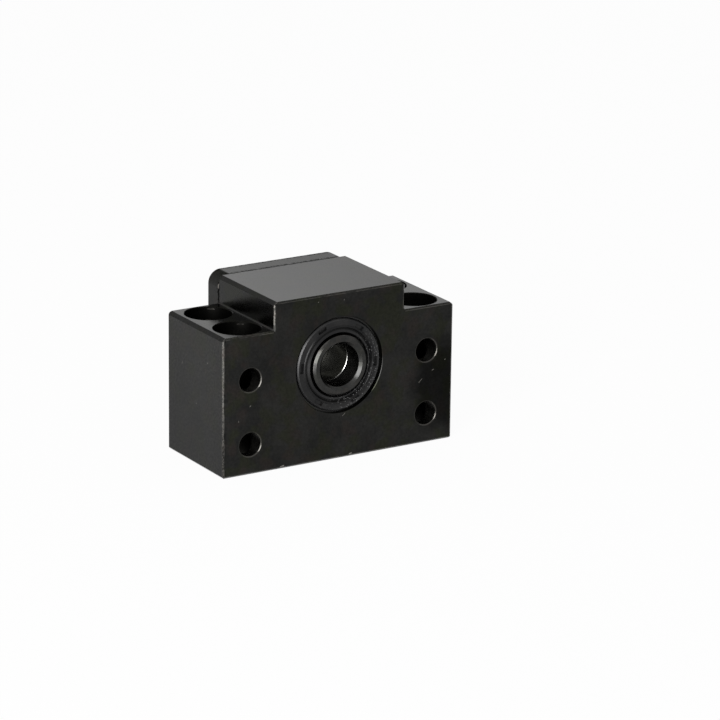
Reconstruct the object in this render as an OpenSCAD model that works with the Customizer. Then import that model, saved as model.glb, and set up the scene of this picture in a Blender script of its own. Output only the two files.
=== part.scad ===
// Fixed-side support for the end of a ball screw: a shouldered steel block that holds a pair of
// face-to-face angular contact bearings between two collars, closed by a seal in front and by a
// square lid with a second seal behind.
// X runs across the block, Y along the shaft, Z up. The origin is the centre of the base, midway
// between the block's front face and the lid's outer face. Millimetres.

/* [Block] */
// Width across the shoulders
block_w = 60; // [59:1:80]
// Length of the block along the shaft, without the lid
block_l = 25; // [24.5:0.5:32]
// Height of the block at its raised middle
block_h = 39; // [38.5:0.5:42]
// Height of the shoulders that the base bolts go through
shoulder_h = 32.5; // [29:0.5:36]
// Width of the raised middle, and of the lid
crown_w = 34; // [33:0.5:35]
// Height of the shaft axis above the base
axis_h = 22; // [21:0.5:22.5]
// Chamfer on the long top edges, along the shaft
long_edge = 0.8; // [0.2:0.1:1]
// Chamfer on the base edges
base_edge = 0.4; // [0.2:0.1:0.8]
// Chamfer round the front and rear faces
rim_edge = 0.3; // [0.1:0.1:0.4]
// Fillet between a shoulder and the raised middle
root_r = 0.4; // [0.2:0.1:0.5]

/* [Bolt holes] */
// Distance across the block between the bolt holes
bolt_pitch_x = 46; // [45.5:0.5:47]
// Distance along the shaft between the base bolt holes
bolt_pitch_y = 13; // [11.5:0.5:13.5]
// Base bolt hole
bolt_hole_d = 6.6; // [6:0.2:7.4]
// Counterbore for the base bolt's head
bolt_head_d = 10.8; // [10:0.2:11]
// Depth of that counterbore
bolt_head_depth = 5; // [3:0.5:7]
// Holes along the shaft, for bolting the front face to a plate
face_hole_d = 5.5; // [4.5:0.25:6]
// Height between the two rows of these holes; the upper row is level with the shaft
face_pitch_z = 15; // [11:0.5:17]
// Chamfer at the mouth of every bolt hole
hole_edge = 0.15; // [0.1:0.05:0.15]

/* [Bearings] */
// Shaft journal, which is the bore of the inner rings and collars
shaft_d = 10; // [9:0.5:10.5]
// Outside diameter of a bearing
bearing_d = 26; // [25:0.5:27]
// Width of one bearing
bearing_w = 8; // [7:0.5:9]
// Ball diameter
ball_d = 4.762; // [4.4:0.001:5]
// Balls in each bearing
ball_count = 9; // [7:1:10]
// Contact angle, in degrees
contact_angle = 30; // [15:5:40]
// Race groove radius as a share of the ball diameter
groove_ratio = 0.52; // [0.52:0.005:0.54]
// Gap between a ball and its race
race_gap = 0.03; // [0.02:0.01:0.05]
// Gap between a ball and its cage pocket
pocket_gap = 0.06; // [0.04:0.01:0.1]
// Radial thickness of the cage
cage_t = 2; // [1.6:0.1:2.2]
// Distance from the side of a ring in to the side of the cage
cage_inset = 0.7; // [0.5:0.1:0.8]
// Corner chamfer on the bearing rings
ring_edge = 0.3; // [0.1:0.1:0.5]
// Chamfer at the ends of the inner rings' bores
bore_edge = 0.2; // [0.1:0.05:0.3]

/* [Collars] */
// Outside diameter of both collars
collar_d = 14; // [13.4:0.2:14.4]
// How deep the front bearing sits behind the block's front face
front_depth = 5; // [4.6:0.2:6]
// How far the front collar stands out of the block's front face
collar_proud = 0.7; // [0:0.1:1.2]
// How far the rear collar stays inside the lid's outer face
rear_recess = 1; // [0.5:0.25:2]
// Chamfer round the rim of each collar's outer end
collar_bevel = 0.5; // [0.2:0.1:0.9]
// Chamfer at the bore of each collar's outer end
collar_mouth = 0.6; // [0.2:0.1:0.9]

/* [Seals] */
// Outside diameter of the seals
seal_d = 22; // [21:0.5:23]
// Length of a seal along the shaft
seal_l = 4; // [3.4:0.2:4.4]
// Gap between a seal's lip and the turning collar
lip_gap = 0.05; // [0.03:0.01:0.1]
// How far the seal's flange lies below the face around it
flange_sink = 0.25; // [0.15:0.05:0.4]
// Moulded pockets round the flange
flange_pockets = 6; // [4:1:8]
// Turn of the pockets about the shaft, in degrees
pocket_turn = -3; // [-20:1:20]
// Dark gap that shows round a seal, where the mouth of its seat is wider than the seal
seat_relief = 0.3; // [0.1:0.05:0.3]
// Chamfer at the mouth of a seal's seat
seat_edge = 0.1; // [0.05:0.05:0.2]

/* [Lid] */
// Thickness of the lid's plate
lid_t = 5; // [4.6:0.2:7]
// Corner radius of the lid's plate
lid_corner_r = 3; // [2:0.5:4]
// Distance from the lid's edges in to the centres of its screws
lid_screw_inset = 4; // [3.5:0.25:4.5]
// Thread diameter of a lid screw
screw_d = 3; // [2.6:0.1:3.2]
// Length of a lid screw under its head
screw_l = 8; // [6:1:9]
// Head diameter of a lid screw
head_d = 5.5; // [5:0.1:5.6]
// Head height of a lid screw
head_h = 3; // [2.4:0.2:3.2]
// Hexagon socket of a lid screw, across its flats
socket_af = 2.5; // [2:0.1:2.8]
// Gap round a screw's head in its counterbore
head_gap = 0.25; // [0.1:0.05:0.3]
// Gap round a screw's shank in the lid
shank_gap = 0.2; // [0.1:0.05:0.3]

/* [Hidden] */
$fn = 72;
over = 1;                                   // how far a cut runs past the face it opens
front_y = -(block_l + lid_t) / 2;
rear_y = front_y + block_l;
lid_y = rear_y + lid_t;
seat_y = front_y + front_depth;             // shoulder that the front bearing stands on
mid_y = seat_y + bearing_w;                 // where the two bearings meet
stack_y = mid_y + bearing_w;                // rear end of the bearings, where the lid's spigot stops
spigot_l = rear_y - stack_y;
front_collar_l = front_depth + collar_proud;
rear_collar_l = lid_y - rear_recess - stack_y;
shaft_r = shaft_d / 2;
bearing_r = bearing_d / 2;
collar_r = collar_d / 2;
seal_r = seal_d / 2;
seal_land = 1;                              // shoulder that each seal is pressed up against
land_r = seal_r - seal_land;
relief_r = seal_r + seat_relief;
relief_depth = 0.9;
ball_r = ball_d / 2;
pitch_r = (shaft_r + bearing_r) / 2;
groove_r = ball_d * groove_ratio;
groove_shift = groove_r - ball_r - race_gap;
inner_shoulder_r = pitch_r - 0.35 * ball_d;
outer_shoulder_r = pitch_r + 0.36 * ball_d;
outer_relief_r = pitch_r + 0.46 * ball_d;   // lower shoulder that the balls are snapped in over
cage_shift = 0.4;                           // the cage rides nearer to the outer ring
cage_r = pitch_r + cage_shift;              // middle of the cage's thickness
cage_edge = 0.2;
spigot_gap = 0.02;
thread_gap = 0.02;
mouth_edge = 0.5;                           // chamfer at the rear mouth of the bearing seat
collar_edge = 0.1;
head_sink = 0.2;                            // how far a screw's head lies below the lid's face
head_seat = head_h + head_sink;
grip = lid_t - head_seat;                   // lid under a screw's head
lid_h = 2 * (block_h - axis_h);
lid_pitch_x = crown_w - 2 * lid_screw_inset;
lid_pitch_z = lid_h - 2 * lid_screw_inset;
BALLS = [for (i = [1:ball_count]) i];

steel_black = [0.13, 0.13, 0.13];
steel_dark = [0.22, 0.22, 0.21];
steel_bright = [0.72, 0.73, 0.74];
rubber_black = [0.06, 0.06, 0.06];
cage_brown = [0.55, 0.38, 0.2];

// ---- placing ----

// Local Z runs along the shaft from y, towards the rear
module towards_rear(y) {
    translate([0, y, axis_h]) rotate([-90, 0, 0]) children();
}

// Local Z runs along the shaft from y, towards the front
module towards_front(y) {
    translate([0, y, axis_h]) rotate([90, 0, 0]) children();
}

module at_corners(pitch_a, pitch_b) {
    for (a = [-1, 1], b = [-1, 1])
        translate([a * pitch_a / 2, b * pitch_b / 2, 0]) children();
}

// ---- outlines ----

// Rectangle on the X axis with its lower and upper corners cut at 45 degrees
module eased_rect(w, h, low, high) {
    polygon([[-w / 2 + low, 0], [w / 2 - low, 0], [w / 2, low], [w / 2, h - high],
             [w / 2 - high, h], [-w / 2 + high, h], [-w / 2, h - high], [-w / 2, low]]);
}

// Half section of a ring, from r0 to r1 and 0 to l, with its bore and rim corners cut
module ring_section(r0, r1, l, bore_cut, rim_cut) {
    polygon([[r0, bore_cut], [r0 + bore_cut, 0], [r1 - rim_cut, 0], [r1, rim_cut],
             [r1, l - rim_cut], [r1 - rim_cut, l], [r0 + bore_cut, l], [r0, l - bore_cut]]);
}

// ---- block ----

// Block standing on z = 0 and centred in X, from the front face to the rear face
module eased_block(w, h, top_edge) {
    middle = (front_y + rear_y) / 2;
    translate([0, middle, 0]) intersection() {
        rotate([90, 0, 0])
            linear_extrude(height = block_l, center = true)
                eased_rect(w, h, base_edge, top_edge);
        rotate([90, 0, 90])
            linear_extrude(height = w, center = true)
                eased_rect(block_l, h, base_edge, rim_edge);
        translate([0, -block_l / 2, 0])
            linear_extrude(height = h)
                eased_rect(w, block_l, rim_edge, rim_edge);
    }
}

// Concave fillets where the shoulders meet the raised middle
module root_fillets() {
    for (side = [0, 1])
        mirror([side, 0, 0])
            translate([crown_w / 2, rear_y - rim_edge, shoulder_h])
                rotate([90, 0, 0])
                    linear_extrude(height = block_l - 2 * rim_edge)
                        difference() {
                            translate([-root_r, -root_r]) square(2 * root_r);
                            translate([root_r, root_r]) circle(r = root_r);
                        }
}

// Everything turned out of the block on the shaft axis: the seal's seat, the opening behind it,
// the bearing seat and its mouth
module shaft_cavity() {
    towards_rear(front_y) rotate_extrude()
        polygon([[0, -over], [relief_r + seat_edge + over, -over], [relief_r, seat_edge],
                 [relief_r, relief_depth], [seal_r, relief_depth],
                 [seal_r, seal_l], [land_r, seal_l], [land_r, front_depth],
                 [bearing_r, front_depth], [bearing_r, block_l - mouth_edge],
                 [bearing_r + mouth_edge + over, block_l + over], [0, block_l + over]]);
}

module base_bolt_hole() {
    hole_r = bolt_hole_d / 2;
    head_r = bolt_head_d / 2;
    floor_z = shoulder_h - bolt_head_depth;
    top_z = shoulder_h + hole_edge;
    rotate_extrude()
        polygon([[0, -over], [hole_r + hole_edge + over, -over], [hole_r, hole_edge],
                 [hole_r, floor_z], [head_r, floor_z], [head_r, shoulder_h - hole_edge],
                 [head_r + hole_edge, shoulder_h], [head_r + hole_edge, top_z], [0, top_z]]);
}

// Through hole along the shaft direction, chamfered at both faces
module face_hole() {
    hole_r = face_hole_d / 2;
    rotate_extrude()
        polygon([[0, -over], [hole_r + hole_edge + over, -over], [hole_r, hole_edge],
                 [hole_r, block_l - hole_edge], [hole_r + hole_edge + over, block_l + over],
                 [0, block_l + over]]);
}

// Blind tapped hole for a lid screw, with the drill's cone at its end
module lid_screw_hole() {
    hole_r = screw_d / 2 + thread_gap;
    spare = 1;
    depth = screw_l - grip + spare;
    drill_cone = 0.6 * hole_r;
    rotate_extrude()
        polygon([[0, -over], [hole_r, -over], [hole_r, depth], [0, depth + drill_cone]]);
}

module housing() {
    color(steel_black) difference() {
        union() {
            eased_block(block_w, shoulder_h, long_edge);
            eased_block(crown_w, block_h, long_edge);
            root_fillets();
        }
        shaft_cavity();
        translate([0, (front_y + rear_y) / 2, 0])
            at_corners(bolt_pitch_x, bolt_pitch_y) base_bolt_hole();
        for (side = [-1, 1], level = [0, 1])
            translate([side * bolt_pitch_x / 2, 0, -level * face_pitch_z])
                towards_rear(front_y) face_hole();
        towards_front(rear_y)
            at_corners(lid_pitch_x, lid_pitch_z) lid_screw_hole();
    }
}

// ---- lid ----

// Bar along local Y with the two top edges across its width eased
module eased_bar(w, l, t) {
    rotate([90, 0, 0]) linear_extrude(height = l, center = true) eased_rect(w, t, 0, rim_edge);
}

// Plate with round corners and an eased outer rim: two crossed bars and four turned corners
module rounded_plate(w, h, t, r) {
    eased_bar(w, h - 2 * r, t);
    rotate([0, 0, 90]) eased_bar(h, w - 2 * r, t);
    at_corners(w - 2 * r, h - 2 * r)
        rotate_extrude() polygon([[0, 0], [r, 0], [r, t - rim_edge], [r - rim_edge, t], [0, t]]);
}

// Counterbored hole through the lid for a screw, cut from the plate's inner face at z = 0
module lid_screw_seat() {
    shank_r = screw_d / 2 + shank_gap;
    seat_r = head_d / 2 + head_gap;
    rotate_extrude()
        polygon([[0, -over], [shank_r, -over], [shank_r, grip], [seat_r, grip],
                 [seat_r, lid_t - hole_edge], [seat_r + hole_edge + over, lid_t + over],
                 [0, lid_t + over]]);
}

module lid() {
    spigot_r = bearing_r - spigot_gap;
    color(steel_black) difference() {
        union() {
            towards_rear(rear_y) rounded_plate(crown_w, lid_h, lid_t, lid_corner_r);
            towards_front(rear_y + over) rotate_extrude()
                polygon([[0, 0], [spigot_r, 0], [spigot_r, spigot_l + over - rim_edge],
                         [spigot_r - rim_edge, spigot_l + over], [0, spigot_l + over]]);
        }
        towards_front(lid_y) rotate_extrude()
            polygon([[0, -over], [relief_r + seat_edge + over, -over], [relief_r, seat_edge],
                     [relief_r, relief_depth], [seal_r, relief_depth],
                     [seal_r, seal_l], [land_r, seal_l], [land_r, lid_t + spigot_l + over],
                     [0, lid_t + spigot_l + over]]);
        towards_rear(rear_y) at_corners(lid_pitch_x, lid_pitch_z) lid_screw_seat();
    }
}

// Socket head cap screw with its head's top at z = head_h and its shank below z = 0
module cap_screw() {
    shank_r = screw_d / 2;
    head_r = head_d / 2;
    point = 0.4;                            // chamfer at the end of the shank
    brow = 0.25;                            // chamfer round the top of the head
    socket_depth = 0.5 * head_h;
    socket_r = socket_af / 2 / cos(30);
    difference() {
        rotate_extrude()
            polygon([[0, -screw_l], [shank_r - point, -screw_l], [shank_r, point - screw_l],
                     [shank_r, 0], [head_r, 0], [head_r, head_h - brow],
                     [head_r - brow, head_h], [0, head_h]]);
        translate([0, 0, head_h - socket_depth])
            cylinder(h = socket_depth + over, r = socket_r, $fn = 6);
    }
}

module lid_screws() {
    color(steel_dark) towards_rear(rear_y + grip)
        at_corners(lid_pitch_x, lid_pitch_z) cap_screw();
}

// ---- seals ----

// Half section of a moulded lip seal, outer face at z = 0: a sleeve in its seat, a flange with a
// raised inner rib, an outward dust lip at the face and a main lip that leans in behind it.
// The radii share out the band between the turning collar and the seat.
module seal_section() {
    band = seal_r - collar_r;
    dust_tip_r = collar_r + 0.14 * band;
    groove_foot_r = collar_r + 0.36 * band;
    rib_in_r = collar_r + 0.42 * band;
    rib_out_r = collar_r + 0.52 * band;
    sleeve_r = collar_r + 0.7 * band;
    lip_r = collar_r + lip_gap;
    lip_t = 0.3;
    dust_z = 0.1;
    groove_z = 0.45;
    rib_z = 0.05;
    rib_ease = 0.08;
    web_z = 0.35 * seal_l;
    tip_z = 0.62 * seal_l;
    heel_z = 0.85 * seal_l;
    back_cut = 0.3;
    rim_gap = 0.12;
    rim_out_r = seal_r - rim_gap;
    rim_bend_r = rim_out_r - 0.12;
    rim_in_r = rim_bend_r - 0.33;
    rim_bend_z = flange_sink + 0.3;
    rim_z = rim_bend_z + 0.25;
    shoulder_z = rim_z + 0.15;
    flange_r = rib_out_r - rib_ease + flange_sink - rib_z;
    polygon([[dust_tip_r, dust_z + 0.05], [dust_tip_r + 0.1, dust_z],
             [groove_foot_r - 0.1, groove_z], [groove_foot_r, groove_z],
             [rib_in_r, rib_z + rib_ease], [rib_in_r + rib_ease, rib_z],
             [rib_out_r - rib_ease, rib_z], [flange_r, flange_sink],
             [rim_in_r, flange_sink], [rim_bend_r, rim_bend_z], [rim_out_r, rim_z],
             [rim_out_r, shoulder_z], [seal_r, shoulder_z],
             [seal_r, seal_l - back_cut], [seal_r - back_cut, seal_l], [sleeve_r, seal_l],
             [sleeve_r, web_z], [rib_out_r, web_z], [rib_in_r, heel_z],
             [rib_in_r - lip_t, heel_z], [lip_r, tip_z],
             [rib_in_r - lip_t - 0.2, web_z + 0.1], [dust_tip_r + lip_t, web_z - lip_t],
             [dust_tip_r, lip_t]]);
}

module seal() {
    band = seal_r - collar_r;
    pocket_r = collar_r + 0.65 * band;
    pocket_w = 2.3;
    pocket_t = 0.85;
    pocket_depth = 0.5;
    color(rubber_black) difference() {
        rotate_extrude() seal_section();
        for (i = [1:flange_pockets])
            rotate([0, 0, i * 360 / flange_pockets])
                translate([pocket_r - pocket_t / 2, -pocket_w / 2, flange_sink - over])
                    cube([pocket_t, pocket_w, pocket_depth + over]);
    }
}

module front_seal() {
    towards_rear(front_y) rotate([0, 0, -pocket_turn]) seal();
}

module rear_seal() {
    towards_front(lid_y) rotate([0, 0, pocket_turn]) seal();
}

// ---- collars ----

// Spacer collar whose outer end, at z = 0, is bevelled round its rim and its bore
module collar(l) {
    wall = collar_r - shaft_r;
    bevel = min(collar_bevel, 0.45 * wall);
    mouth = min(collar_mouth, 0.45 * wall);
    color(steel_dark) rotate_extrude()
        polygon([[shaft_r, mouth], [shaft_r + mouth, 0], [collar_r - bevel, 0],
                 [collar_r, bevel], [collar_r, l - collar_edge], [collar_r - collar_edge, l],
                 [shaft_r + collar_edge, l], [shaft_r, l - collar_edge]]);
}

module front_collar() {
    towards_rear(front_y - collar_proud) collar(front_collar_l);
}

module rear_collar() {
    towards_front(lid_y - rear_recess) collar(rear_collar_l);
}

// ---- bearings ----

// Both bearings are drawn from their outboard side at z = 0 towards the middle, so the rear one
// is the mirror image of the front one and the outer rings meet face to face.
module front_bearing() {
    towards_rear(seat_y) children();
}

module rear_bearing() {
    towards_front(stack_y) children();
}

// Groove circle, moved from the ball's centre along the line of contact
module groove(side) {
    translate([pitch_r + side * groove_shift * cos(contact_angle),
               bearing_w / 2 - side * groove_shift * sin(contact_angle)])
        circle(r = groove_r, $fn = 120);
}

module inner_ring() {
    color(steel_bright) rotate_extrude() difference() {
        ring_section(shaft_r, inner_shoulder_r, bearing_w, bore_edge, ring_edge);
        groove(1);
    }
}

module outer_ring() {
    color(steel_bright) rotate_extrude() difference() {
        ring_section(outer_shoulder_r, bearing_r, bearing_w, ring_edge, ring_edge);
        groove(-1);
        translate([outer_shoulder_r - over, bearing_w / 2])
            square([outer_relief_r - outer_shoulder_r + over, bearing_w]);
    }
}

// Window cage, bored radially for the balls; each bore starts clear of its neighbours
module cage() {
    cage_l = bearing_w - 2 * cage_inset;
    inner_r = cage_r - cage_t / 2;
    start_r = inner_r - over / 2;
    color(cage_brown) translate([0, 0, cage_inset]) difference() {
        rotate_extrude() ring_section(inner_r, inner_r + cage_t, cage_l, cage_edge, cage_edge);
        for (i = BALLS)
            rotate([0, 0, i * 360 / ball_count]) translate([start_r, 0, cage_l / 2])
                rotate([0, 90, 0]) cylinder(h = cage_t + over, r = ball_r + pocket_gap);
    }
}

module ball(i) {
    color(steel_bright) rotate([0, 0, i * 360 / ball_count])
        translate([pitch_r, 0, bearing_w / 2]) sphere(r = ball_r);
}

housing();
lid();
lid_screws();
front_seal();
rear_seal();
front_collar();
rear_collar();
front_bearing() inner_ring();  // front_inner_ring
rear_bearing() inner_ring();  // rear_inner_ring
front_bearing() outer_ring();  // front_outer_ring
rear_bearing() outer_ring();  // rear_outer_ring
front_bearing() cage();  // front_cage
rear_bearing() cage();  // rear_cage
for (i = BALLS) {
    front_bearing() ball(i);
    rear_bearing() ball(i);
}
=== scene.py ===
# Ball screw end support: a blackened steel block with sealed bearings, collars and a lid,
# standing on white paper in a bright, even studio. Lengths in the dictionaries are millimetres.
import math

import bpy
import numpy as np
from mathutils import Matrix


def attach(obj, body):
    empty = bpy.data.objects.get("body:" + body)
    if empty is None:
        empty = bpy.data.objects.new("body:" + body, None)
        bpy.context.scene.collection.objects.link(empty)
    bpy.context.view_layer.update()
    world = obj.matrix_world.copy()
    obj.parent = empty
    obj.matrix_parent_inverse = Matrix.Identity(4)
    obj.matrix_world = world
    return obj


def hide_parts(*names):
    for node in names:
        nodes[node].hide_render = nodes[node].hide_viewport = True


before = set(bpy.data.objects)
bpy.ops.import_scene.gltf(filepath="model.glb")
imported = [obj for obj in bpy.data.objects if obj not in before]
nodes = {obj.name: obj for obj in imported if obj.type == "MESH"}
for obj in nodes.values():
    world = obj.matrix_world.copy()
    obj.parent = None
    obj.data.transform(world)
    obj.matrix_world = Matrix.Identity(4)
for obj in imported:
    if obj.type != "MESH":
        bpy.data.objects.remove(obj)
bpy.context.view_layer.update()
mm = 0.001                       # Blender and the frame work in metres
axisHeight = 22                  # of the shaft above the base
form = {"halfWidth": 30, "crownHalf": 17, "height": 39, "shoulder": 32.5, "front": -15, "rear": 10}
print("frame loaded with", len(nodes), "CAD nodes")


# Adds a node; an input that is another node's socket is linked, any other is set
def addNode(tree, kind, inputs=None, **settings):
    node = tree.nodes.new(kind)
    for name, value in settings.items():
        setattr(node, name, value)
    for name, value in (inputs or {}).items():
        if isinstance(value, bpy.types.NodeSocket):
            tree.links.new(value, node.inputs[name])
        else:
            node.inputs[name].default_value = value
    return node


def calc(tree, operation, a, b=0.0, c=0.0, clamp=False):
    return addNode(tree, "ShaderNodeMath", {0: a, 1: b, 2: c},
                   operation=operation, use_clamp=clamp).outputs[0]


def minus(tree, a, b):
    return calc(tree, "SUBTRACT", a, b)


def most(tree, a, b):
    return calc(tree, "MAXIMUM", a, b)


def least(tree, a, b):
    return calc(tree, "MINIMUM", a, b)


# a times b plus c
def timesPlus(tree, a, b, c):
    return calc(tree, "MULTIPLY_ADD", a, b, c)


def product(tree, value, *others):
    for other in others:
        value = calc(tree, "MULTIPLY", value, other)
    return value


# How far apart two values are
def gap(tree, a, b):
    return calc(tree, "ABSOLUTE", minus(tree, a, b))


# Root of a squared plus b squared
def hypotenuse(tree, a, b):
    return calc(tree, "SQRT", calc(tree, "ADD", product(tree, a, a), product(tree, b, b)))


# The value where the mask is 0, and the given share of it where the mask is 1
def dimmed(tree, value, mask, share):
    return product(tree, value, timesPlus(tree, mask, share - 1, 1.0))


def vectorCalc(tree, operation, a, b=(0, 0, 0)):
    return addNode(tree, "ShaderNodeVectorMath", {0: a, 1: b}, operation=operation)


def scaled(tree, vector, factor):
    return addNode(tree, "ShaderNodeVectorMath", {0: vector, "Scale": factor}, operation="SCALE").outputs[0]


def splitVector(tree, vector):
    return addNode(tree, "ShaderNodeSeparateXYZ", {0: vector}).outputs


def noise(tree, position, scale, detail=2.0, rough=0.5):
    node = addNode(tree, "ShaderNodeTexNoise",
                   {"Vector": position, "Scale": scale, "Detail": detail, "Roughness": rough})
    return node.outputs["Fac"]


# Noise along one line only
def lineNoise(tree, travel, detail):
    node = addNode(tree, "ShaderNodeTexNoise", {"W": travel, "Scale": 1.0, "Detail": detail},
                   noise_dimensions="1D")
    return node.outputs["Fac"]


# The normal bent by a height from 0 to 1 times a depth in millimetres
def bumped(tree, height, depth, normal=None):
    inputs = {"Strength": 1.0, "Distance": 1.0, "Height": product(tree, height, depth, mm)}
    if normal is not None:
        inputs["Normal"] = normal
    return addNode(tree, "ShaderNodeBump", inputs).outputs["Normal"]


def mixColour(tree, factor, a, b, blend="MIX"):
    node = addNode(tree, "ShaderNodeMix", data_type="RGBA", blend_type=blend)
    for index, value in ((0, factor), (6, a), (7, b)):
        if isinstance(value, bpy.types.NodeSocket):
            tree.links.new(value, node.inputs[index])
        else:
            node.inputs[index].default_value = value
    return node.outputs[2]


def mixValue(tree, factor, a, b):
    return addNode(tree, "ShaderNodeMix", {0: factor, 2: a, 3: b}, data_type="FLOAT").outputs[0]


def shaded(tree, colour, shade):
    return mixColour(tree, 1.0, colour, shade, blend="MULTIPLY")


# Rises smoothly from 0 to 1 as the value goes from low to high
def ease(tree, value, low, high):
    return addNode(tree, "ShaderNodeMapRange", {"Value": value, "From Min": low, "From Max": high},
                   interpolation_type="SMOOTHSTEP").outputs["Result"]


# An empty shader group. Each input is given as its kind, or as the number it is by default.
def startGroup(name, inputs, outputs):
    tree = bpy.data.node_groups.new(name, "ShaderNodeTree")
    for label, value in inputs.items():
        kind = value if isinstance(value, str) else "Float"
        socket = tree.interface.new_socket(name=label, in_out="INPUT", socket_type="NodeSocket" + kind)
        if kind == "Float":
            socket.default_value = value
    for label, kind in outputs.items():
        tree.interface.new_socket(name=label, in_out="OUTPUT", socket_type="NodeSocket" + kind)
    return tree, tree.nodes.new("NodeGroupInput").outputs, tree.nodes.new("NodeGroupOutput").inputs


def useGroup(tree, group, **inputs):
    named = {label.replace("_", " "): value for label, value in inputs.items()}
    return addNode(tree, "ShaderNodeGroup", named, node_tree=group).outputs


# Distance from a point on the stepped block to its nearest outer edge. With the distances to the
# nearest side, top or base, and end, an edge is where two of the three vanish, so the middle one
# of the three is the distance. The step takes the crown's side and top in place of the block's.
def makeEdgeDistance():
    tree, given, result = startGroup(
        "edge distance",
        {"Position": "Vector", "Half Width": form["halfWidth"], "Crown Half": form["crownHalf"],
         "Height": form["height"], "Shoulder": form["shoulder"], "Front": form["front"],
         "Rear": form["rear"]},
        {"Distance": "Float", "Long Edge": "Float"})
    x, y, z = splitVector(tree, scaled(tree, given["Position"], 1 / mm))
    across = calc(tree, "ABSOLUTE", x)
    slack = 0.1
    underCrown = calc(tree, "LESS_THAN", across, calc(tree, "ADD", given["Crown Half"], slack))
    overShoulder = calc(tree, "GREATER_THAN", z, calc(tree, "ADD", given["Shoulder"], slack))
    top = timesPlus(tree, underCrown, minus(tree, given["Height"], given["Shoulder"]), given["Shoulder"])
    side = timesPlus(tree, overShoulder, minus(tree, given["Crown Half"], given["Half Width"]),
                     given["Half Width"])
    toSide = gap(tree, across, side)
    toTop = least(tree, gap(tree, z, top), calc(tree, "ABSOLUTE", z))
    toEnd = least(tree, gap(tree, y, given["Front"]), gap(tree, y, given["Rear"]))
    low = least(tree, toSide, toTop)
    high = most(tree, toSide, toTop)
    middle = most(tree, low, least(tree, high, toEnd))
    tree.links.new(middle, result["Distance"])
    tree.links.new(high, result["Long Edge"])
    return tree


# Bare metal where the oxide is rubbed off: within a ragged reach of an edge, and only in patches.
# Reach = width times a coarse noise above the coverage level, plus a fine noise.
def makeRubbedEdge():
    tree, given, result = startGroup(
        "rubbed edge", {"Position": "Vector", "Distance": 1, "Width": 0.3, "Coverage": 0.5},
        {"Mask": "Float"})
    patches = noise(tree, given["Position"], 0.22 / mm, 3.0, 0.6)
    raggedness = noise(tree, given["Position"], 2.4 / mm, 2.0, 0.7)
    level = minus(tree, calc(tree, "ADD", patches, given["Coverage"]), 1.0)
    patched = calc(tree, "MULTIPLY", level, 6.0, clamp=True)
    ragged = calc(tree, "MULTIPLY_ADD", raggedness, 2.0, -0.25, clamp=True)
    short = minus(tree, product(tree, patched, given["Width"], ragged), given["Distance"])
    tree.links.new(ease(tree, short, -0.02, 0.06), result["Mask"])
    return tree


# The oxide's fine grain: a noise about 0, and the share of its tone that each place keeps by it
def oxideGrain(tree, place, share):
    fine = minus(tree, noise(tree, place, 1.9 / mm, 3.0, 0.7), 0.5)
    return fine, timesPlus(tree, fine, share, 1.0)


# Blackened steel's tone: a dark and a lighter oxide in clouds, olive and brown tints in patches, a
# fine grain over all, and a finish that is a little duller where it is lighter
def makeOxideTone():
    tree, given, result = startGroup(
        "oxide tone",
        {"Position": "Vector", "Dark": "Color", "Light": "Color", "Brown": "Color", "Brown Share": 0.3,
         "Olive": "Color", "Olive Share": 0.3, "Cloud Scale": 60, "Grain Share": 0.4,
         "Roughness": 0.25},
        {"Colour": "Color", "Roughness": "Float"})
    place = given["Position"]
    clouds = noise(tree, place, given["Cloud Scale"], 5.0, 0.6)
    tintScale = product(tree, given["Cloud Scale"], 2.0)
    fine, grainy = oxideGrain(tree, place, given["Grain Share"])
    blend = ease(tree, clouds, 0.34, 0.66)
    tone = mixColour(tree, blend, given["Dark"], given["Light"])
    for name, shift, low, high in (("Olive", (0.12, 0.43, 0.21), 0.46, 0.62),
                                   ("Brown", (0.31, 0.17, 0.05), 0.5, 0.66)):
        patches = noise(tree, vectorCalc(tree, "ADD", place, shift).outputs[0], tintScale, 3.0)
        share = product(tree, ease(tree, patches, low, high), given[name + " Share"])
        tone = mixColour(tree, share, tone, given[name])
    tree.links.new(shaded(tree, tone, grainy), result["Colour"])
    dull = timesPlus(tree, minus(tree, blend, 0.5), 0.06, given["Roughness"])
    dull = timesPlus(tree, fine, 0.08, dull)
    tree.links.new(dull, result["Roughness"])
    return tree


# The fine tooth of a surface: noise as a height, which bends the normal
def makeGrain():
    tree, given, result = startGroup(
        "grain", {"Position": "Vector", "Scale": 3000, "Depth": 0.002, "Normal": "Vector"},
        {"Normal": "Vector"})
    tree.interface.items_tree["Normal"].hide_value = True
    height = noise(tree, given["Position"], given["Scale"], 3.0, 0.6)
    tree.links.new(bumped(tree, height, given["Depth"], given["Normal"]), result["Normal"])
    return tree


# Marks of turning about the shaft: height is one-dimensional noise of radius plus travel along
# the shaft, so faces get rings and round walls get threads of light
def makeTurnedMarks():
    tree, given, result = startGroup(
        "turned marks",
        {"Position": "Vector", "Axis Height": axisHeight, "Per Millimetre": 6, "Depth": 0.002,
         "Normal": "Vector"},
        {"Normal": "Vector", "Radius": "Float", "Rings": "Float"})
    x, y, z = splitVector(tree, scaled(tree, given["Position"], 1 / mm))
    up = minus(tree, z, given["Axis Height"])
    radius = hypotenuse(tree, x, up)
    travel = product(tree, calc(tree, "ADD", radius, y), given["Per Millimetre"])
    rings = lineNoise(tree, travel, 2.0)
    tree.links.new(bumped(tree, rings, given["Depth"], given["Normal"]), result["Normal"])
    tree.links.new(radius, result["Radius"])
    tree.links.new(rings, result["Rings"])
    return tree


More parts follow.
